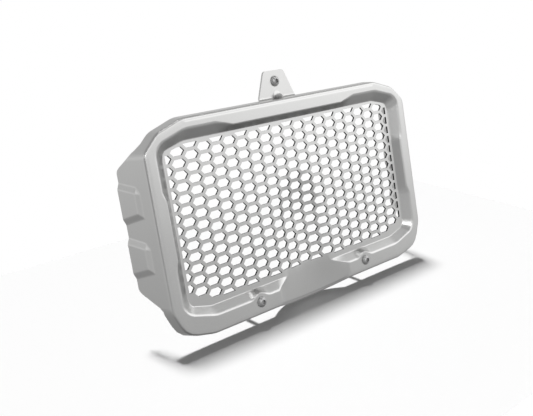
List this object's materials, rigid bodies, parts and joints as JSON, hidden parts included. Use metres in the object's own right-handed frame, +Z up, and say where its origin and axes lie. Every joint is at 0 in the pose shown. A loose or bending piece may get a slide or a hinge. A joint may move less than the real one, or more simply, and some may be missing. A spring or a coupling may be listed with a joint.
{
  "type": "motorcycle radiator guard",
  "caption": "Pressed metal guard with a recessed honeycomb mesh, deep side wings and a folded top tab, screwed on in front of a motorcycle radiator.",
  "frame": {"origin": "on the top screw's axis, where its shank leaves the back of the tab", "axes": "+X to the guard's right as seen from the front, +Y to the rear along the screws, +Z up"},
  "size_m": [0.361, 0.044, 0.2308],
  "materials": {
    "sheet": "satin, fine grained silver",
    "screw_steel": "plain shiny steel"
  },
  "bodies": {
    "root": {"guard_panel": "sheet", "top_screw": "screw_steel", "lower_left_screw": "screw_steel", "lower_right_screw": "screw_steel"}
  },
  "joints": []
}
